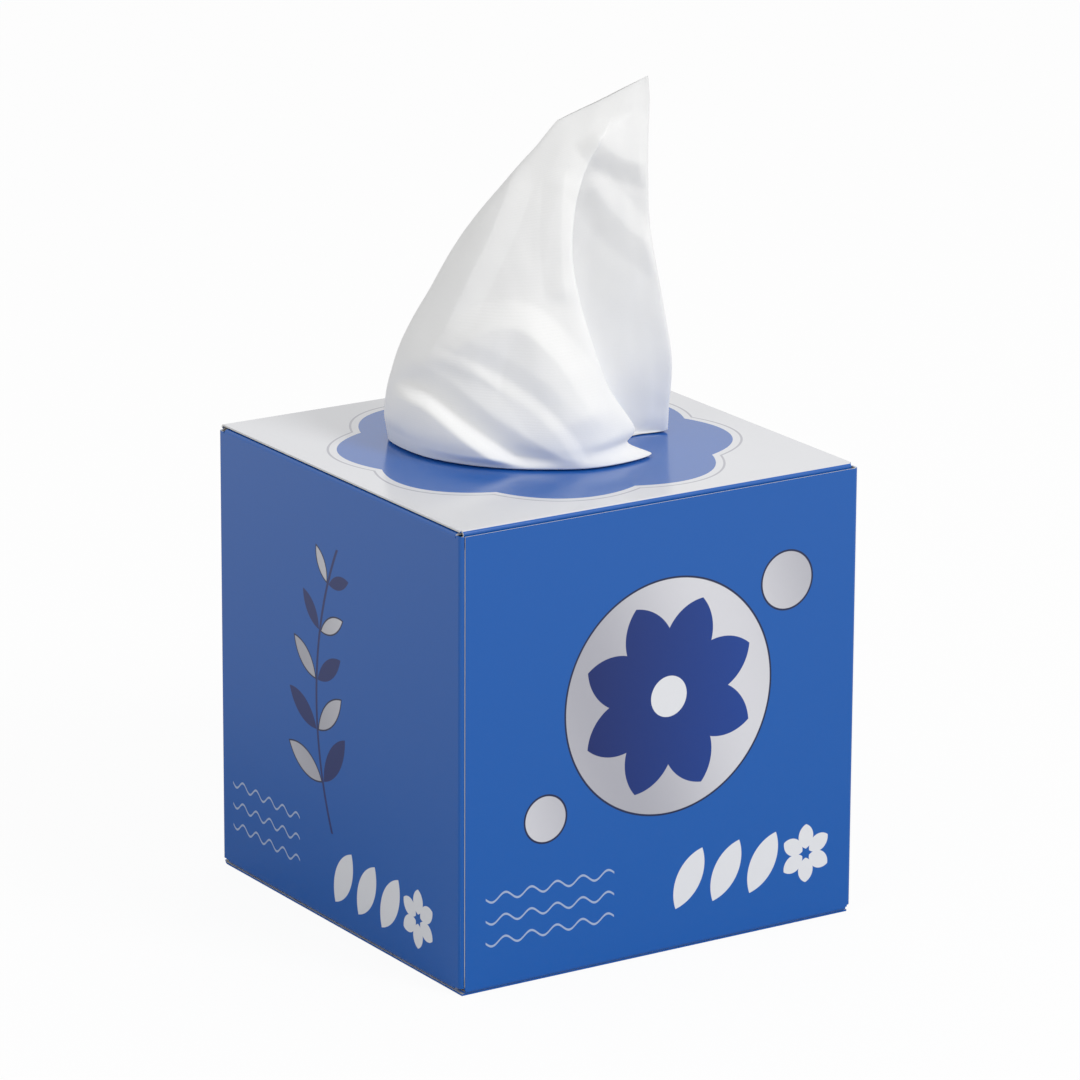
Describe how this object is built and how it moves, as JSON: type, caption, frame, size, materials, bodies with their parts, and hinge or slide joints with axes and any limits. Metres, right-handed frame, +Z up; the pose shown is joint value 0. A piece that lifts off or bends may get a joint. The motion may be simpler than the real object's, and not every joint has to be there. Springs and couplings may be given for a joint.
{
  "type": "tissue box",
  "caption": "Cube box of paper tissues: folded carton with a hinged tuck-in lid, a bent pile of tissues and one tissue standing out of the round opening.",
  "frame": {"origin": "middle of the base, on the surface that the box stands on", "axes": "+Z up, -Y out of the front wall that the lid tucks in behind, +X to the right seen from the front"},
  "size_m": [0.115, 0.1142, 0.2094],
  "materials": {
    "carton_board": "white folding board, printed blue outside under a gloss coating",
    "lid_board": "white folding board with a blue printed field, gloss coated outside",
    "tissue_pile": "soft white two-ply tissue in thin layers",
    "tissue_sheet": "soft white two-ply tissue, slightly see-through"
  },
  "bodies": {
    "box": {"carton": "carton_board", "tissue_stack": "tissue_pile"},
    "top": {"lid": "lid_board", "pulled_tissue": "tissue_sheet"}
  },
  "joints": [
    {"name": "lid_hinge", "type": "hinge", "parent": "box", "child": "top", "pos_m": [0, 0.05693, 0.1154], "axis": [-1, 0, 0], "range_deg": [0, 110]}
  ]
}
